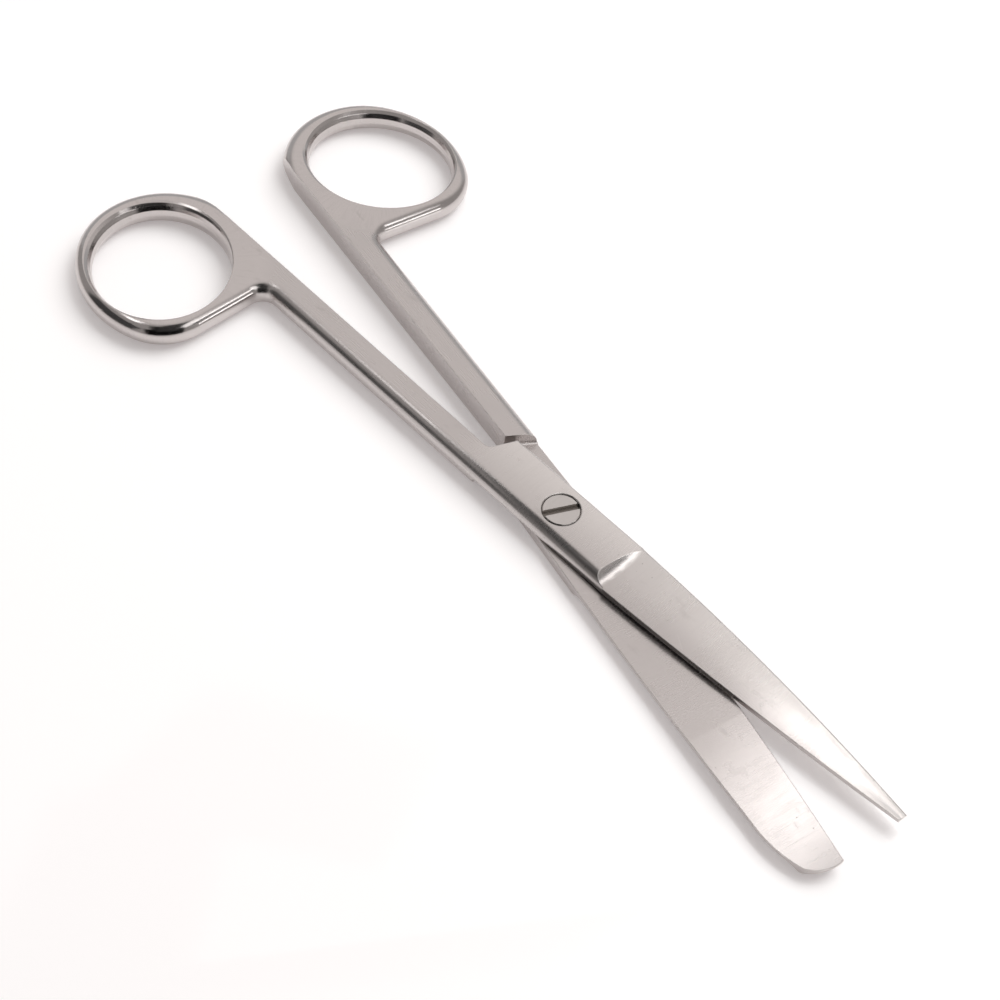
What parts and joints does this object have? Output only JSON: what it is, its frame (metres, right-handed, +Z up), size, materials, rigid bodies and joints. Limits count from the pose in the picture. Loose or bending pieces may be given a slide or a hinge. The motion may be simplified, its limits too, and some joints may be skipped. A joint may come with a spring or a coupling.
{
  "type": "surgical scissors",
  "caption": "Straight surgical scissors with one sharp and one blunt blade, a lap joint held by a slotted screw, and finger rings.",
  "frame": {"origin": "on the pivot screw's axis, in the plane that the scissors lie on", "axes": "+X towards the blade tips, halfway between the two halves; +Z up along the pivot's axis; +Y to the sharp blade's side"},
  "size_m": [0.1432, 0.064, 0.0039],
  "materials": {
    "upper_steel": "satin ground stainless steel",
    "lower_steel": "satin ground stainless steel",
    "screw_steel": "ground stainless steel"
  },
  "bodies": {
    "lower": {"lower_half": "lower_steel", "pivot_screw": "screw_steel"},
    "upper": {"upper_half": "upper_steel"}
  },
  "joints": [
    {"name": "blade_pivot", "type": "hinge", "parent": "lower", "child": "upper", "pos_m": [0, 0, 0], "axis": [0, 0, 1], "range_deg": [-10.3, 79.7]}
  ]
}
